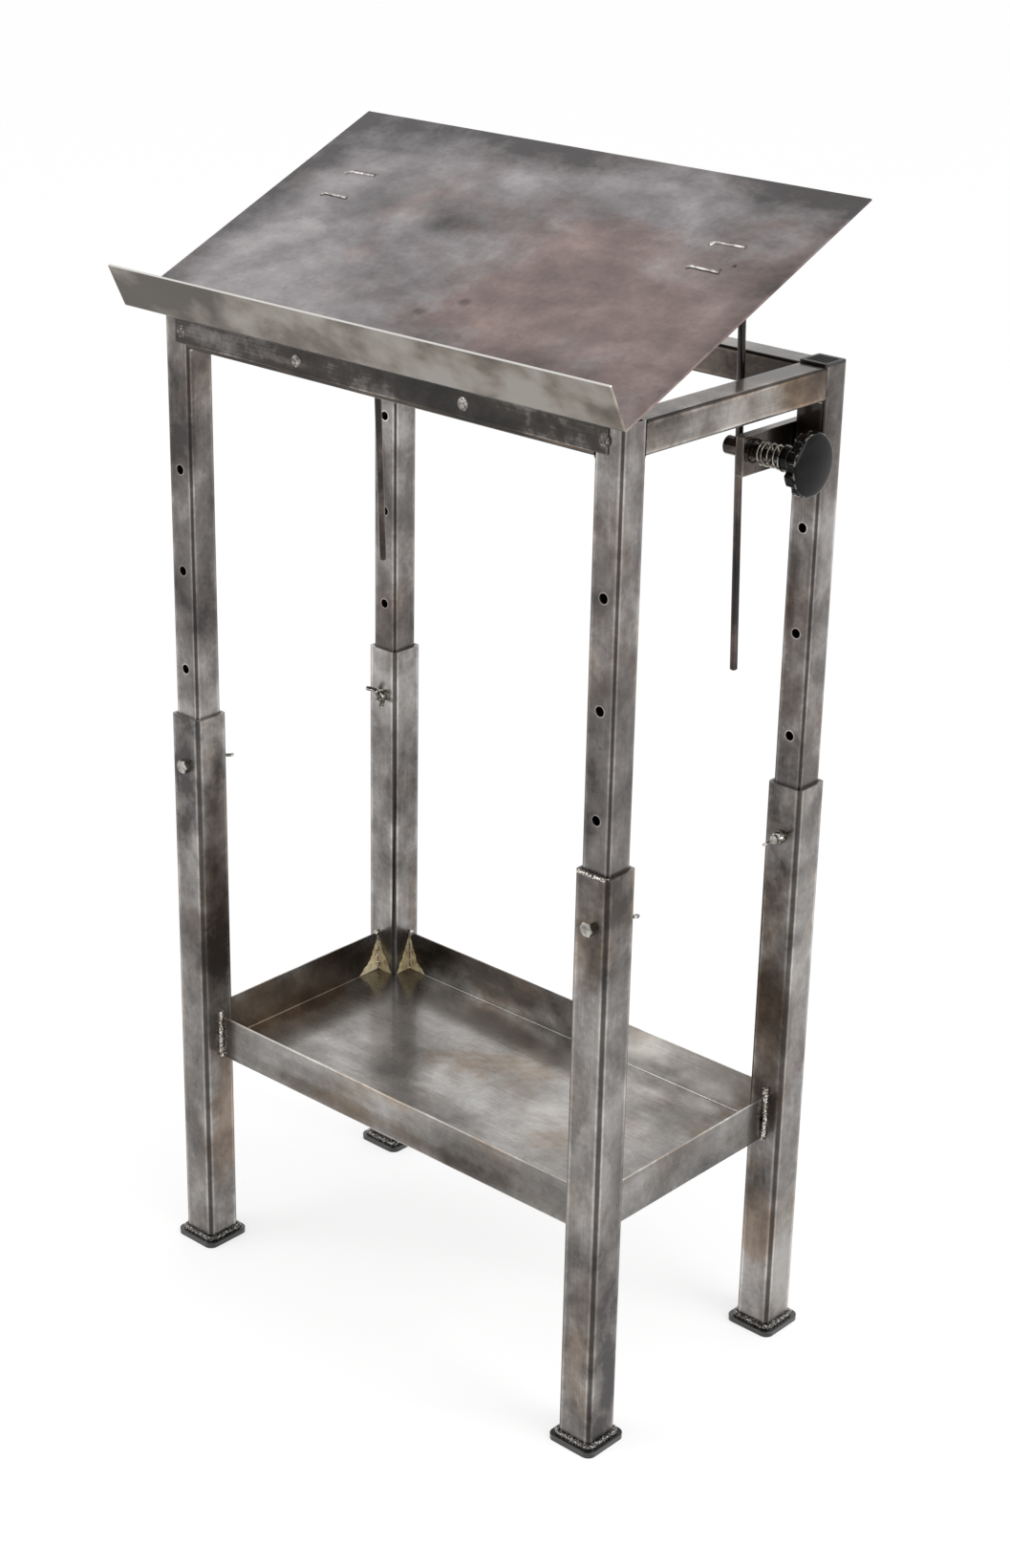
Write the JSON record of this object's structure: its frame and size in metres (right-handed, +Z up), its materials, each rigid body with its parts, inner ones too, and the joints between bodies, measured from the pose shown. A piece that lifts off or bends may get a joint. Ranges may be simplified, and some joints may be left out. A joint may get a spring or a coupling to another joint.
{
  "type": "standing desk",
  "caption": "Tall steel standing desk with a hinged sloping top and lip, propped by bent rods in clamps, telescoping legs and a low tray shelf.",
  "frame": {"origin": "on the floor, under the middle of the whole desk's width and depth", "axes": "+Z up, +Y towards the back, away from the person who writes, +X to that person's right"},
  "size_m": [0.7052, 0.3892, 1.2714],
  "materials": {
    "lacquered_tube": "clear-lacquered bare mild steel, satin",
    "lacquered_sheet": "clear-lacquered bare sheet steel, mottled satin",
    "brushed_tray_sheet": "clear-lacquered sheet steel, brushed rims",
    "dark_steel": "dark brown bare steel",
    "black_foot_paint": "gloss black paint",
    "cap_plastic": "black moulded polyethylene",
    "knob_plastic": "black moulded phenolic, gloss",
    "spring_steel": "bright drawn spring wire",
    "zinc_plate": "bright zinc plate"
  },
  "bodies": {
    "root": {"clamp_plate_left": "dark_steel", "clamp_plate_right": "dark_steel", "clamp_spring_left": "spring_steel", "clamp_spring_right": "spring_steel", "foot_plate_front_left": "black_foot_paint", "foot_plate_front_right": "black_foot_paint", "foot_plate_rear_left": "black_foot_paint", "foot_plate_rear_right": "black_foot_paint", "hinge_leaf_lower": "lacquered_tube", "hinge_pin": "lacquered_tube", "inner_leg_front_left": "lacquered_tube", "inner_leg_front_right": "lacquered_tube", "inner_leg_rear_left": "lacquered_tube", "inner_leg_rear_right": "lacquered_tube", "leg_bolt_front_left": "zinc_plate", "leg_bolt_front_right": "zinc_plate", "leg_bolt_rear_left": "zinc_plate", "leg_bolt_rear_right": "zinc_plate", "leg_cap_rear_left": "cap_plastic", "leg_cap_rear_right": "cap_plastic", "outer_leg_front_left": "lacquered_tube", "outer_leg_front_right": "lacquered_tube", "outer_leg_rear_left": "lacquered_tube", "outer_leg_rear_right": "lacquered_tube", "rail_front": "lacquered_tube", "rail_left": "lacquered_tube", "rail_rear": "lacquered_tube", "rail_right": "lacquered_tube", "shelf_tray": "brushed_tray_sheet"},
    "desk": {"desk_top": "lacquered_sheet", "hinge_leaf_upper": "lacquered_tube", "rod_bracket_left": "dark_steel", "rod_bracket_right": "dark_steel"},
    "rod_left": {"cotter_pin_left": "zinc_plate", "rod_washer_left": "zinc_plate", "stay_rod_left": "dark_steel"},
    "barrel_left": {"clamp_barrel_left": "dark_steel"},
    "washer_left": {"spring_washer_left": "zinc_plate"},
    "knob_left": {"clamp_knob_left": "knob_plastic", "clamp_stud_left": "zinc_plate"},
    "rod_right": {"cotter_pin_right": "zinc_plate", "rod_washer_right": "zinc_plate", "stay_rod_right": "dark_steel"},
    "barrel_right": {"clamp_barrel_right": "dark_steel"},
    "washer_right": {"spring_washer_right": "zinc_plate"},
    "knob_right": {"clamp_knob_right": "knob_plastic", "clamp_stud_right": "zinc_plate"},
    "wing_nut_front_left": {"wing_nut_front_left": "zinc_plate"},
    "wing_nut_front_right": {"wing_nut_front_right": "zinc_plate"},
    "wing_nut_rear_left": {"wing_nut_rear_left": "zinc_plate"},
    "wing_nut_rear_right": {"wing_nut_rear_right": "zinc_plate"}
  },
  "joints": [
    {"name": "desk_tilt", "type": "hinge", "parent": "root", "child": "desk", "pos_m": [0.0059, -0.16346, 1.10955], "axis": [1, 0, 0], "range_deg": [-23.5, 51]},
    {"name": "rod_pivot_left", "type": "hinge", "parent": "desk", "child": "rod_left", "pos_m": [-0.2451, 0.0837, 1.21084], "axis": [1, 0, 0], "range_deg": [-25.51, 11.76]},
    {"name": "clamp_swivel_left", "type": "hinge", "parent": "root", "child": "barrel_left", "pos_m": [-0.2704, 0.09158, 1.03015], "axis": [1, 0, 0], "range_deg": [-11.76, 25.51]},
    {"name": "washer_slide_left", "type": "slide", "parent": "barrel_left", "child": "washer_left", "axis": [-1, 0, 0], "range_m": [0, 0.00317], "deforming": ["clamp_spring_left"]},
    {"name": "knob_turn_left", "type": "hinge", "parent": "washer_left", "child": "knob_left", "pos_m": [-0.2704, 0.09158, 1.03015], "axis": [-1, 0, 0], "range_deg": [-0.01, 720.01]},
    {"name": "rod_pivot_right", "type": "hinge", "parent": "desk", "child": "rod_right", "pos_m": [0.2569, 0.0837, 1.21084], "axis": [1, 0, 0], "range_deg": [-25.51, 11.76]},
    {"name": "clamp_swivel_right", "type": "hinge", "parent": "root", "child": "barrel_right", "pos_m": [0.2822, 0.09158, 1.03015], "axis": [1, 0, 0], "range_deg": [-11.76, 25.51]},
    {"name": "washer_slide_right", "type": "slide", "parent": "barrel_right", "child": "washer_right", "axis": [1, 0, 0], "range_m": [0, 0.00317], "deforming": ["clamp_spring_right"]},
    {"name": "knob_turn_right", "type": "hinge", "parent": "washer_right", "child": "knob_right", "pos_m": [0.2822, 0.09158, 1.03015], "axis": [1, 0, 0], "range_deg": [-0.01, 720.01]},
    {"name": "wing_nut_front_left_turn", "type": "hinge", "parent": "root", "child": "wing_nut_front_left", "pos_m": [-0.2875, -0.14336, 0.60695], "axis": [0, 1, 0], "range_deg": [0, 360]},
    {"name": "wing_nut_front_right_turn", "type": "hinge", "parent": "root", "child": "wing_nut_front_right", "pos_m": [0.2993, -0.14336, 0.60695], "axis": [0, 1, 0], "range_deg": [0, 360]},
    {"name": "wing_nut_rear_left_turn", "type": "hinge", "parent": "root", "child": "wing_nut_rear_left", "pos_m": [-0.2875, 0.16451, 0.60695], "axis": [0, -1, 0], "range_deg": [0, 360]},
    {"name": "wing_nut_rear_right_turn", "type": "hinge", "parent": "root", "child": "wing_nut_rear_right", "pos_m": [0.2993, 0.16451, 0.60695], "axis": [0, -1, 0], "range_deg": [0, 360]}
  ],
  "couplings": [
    {"joint": "rod_pivot_left", "follows": "desk_tilt", "ratio": -0.5},
    {"joint": "clamp_swivel_left", "follows": "desk_tilt", "ratio": 0.5},
    {"joint": "knob_turn_left", "follows": "washer_slide_left", "rad_per_m": 3957.9},
    {"joint": "rod_pivot_right", "follows": "desk_tilt", "ratio": -0.5},
    {"joint": "clamp_swivel_right", "follows": "desk_tilt", "ratio": 0.5},
    {"joint": "knob_turn_right", "follows": "washer_slide_right", "rad_per_m": 3957.9}
  ]
}
